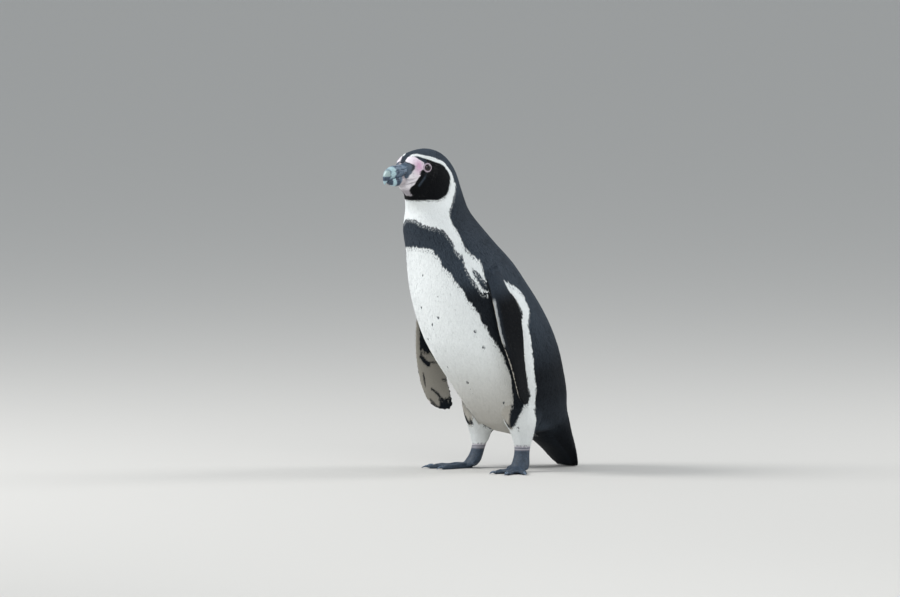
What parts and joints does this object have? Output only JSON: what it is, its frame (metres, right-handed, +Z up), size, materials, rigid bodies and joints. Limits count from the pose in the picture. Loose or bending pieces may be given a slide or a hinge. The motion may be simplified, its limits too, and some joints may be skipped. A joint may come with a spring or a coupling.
{
  "type": "penguin",
  "caption": "Life-size standing penguin with a banded breast, hooked bill, hanging flippers, webbed feet and a short stiff tail that touches the floor.",
  "frame": {"origin": "middle of the bird's box, on the floor that it stands on", "axes": "+Z up; the bird's body faces -Y; +X is the bird's left; its head is turned 10 degrees to its left"},
  "size_m": [0.2666, 0.421, 0.5352],
  "materials": {
    "dark_feathers": "matt, near-black slate feathers of the back, tail and flippers",
    "white_feathers": "matt, white feathers of the thighs",
    "mixed_feathers": "matt, feathers that are white in front and slate behind, shown as their mean",
    "horn": "satin, slate-blue horn of the bill and claws",
    "foot_skin": "satin, scaly slate-blue skin of the legs and feet",
    "eye": "wet, dark red-brown eye, opaque"
  },
  "bodies": {
    "root": {"head": "mixed_feathers", "neck": "mixed_feathers", "trunk": "mixed_feathers", "tail": "dark_feathers", "bill_upper": "horn", "bill_lower": "horn", "eye_left": "eye", "eye_right": "eye", "flipper_left": "dark_feathers", "flipper_right": "dark_feathers", "thigh_left": "white_feathers", "thigh_right": "white_feathers", "foot_left": "foot_skin", "foot_right": "foot_skin", "claw_left_inner": "horn", "claw_left_middle": "horn", "claw_left_outer": "horn", "claw_right_inner": "horn", "claw_right_middle": "horn", "claw_right_outer": "horn"}
  },
  "joints": []
}
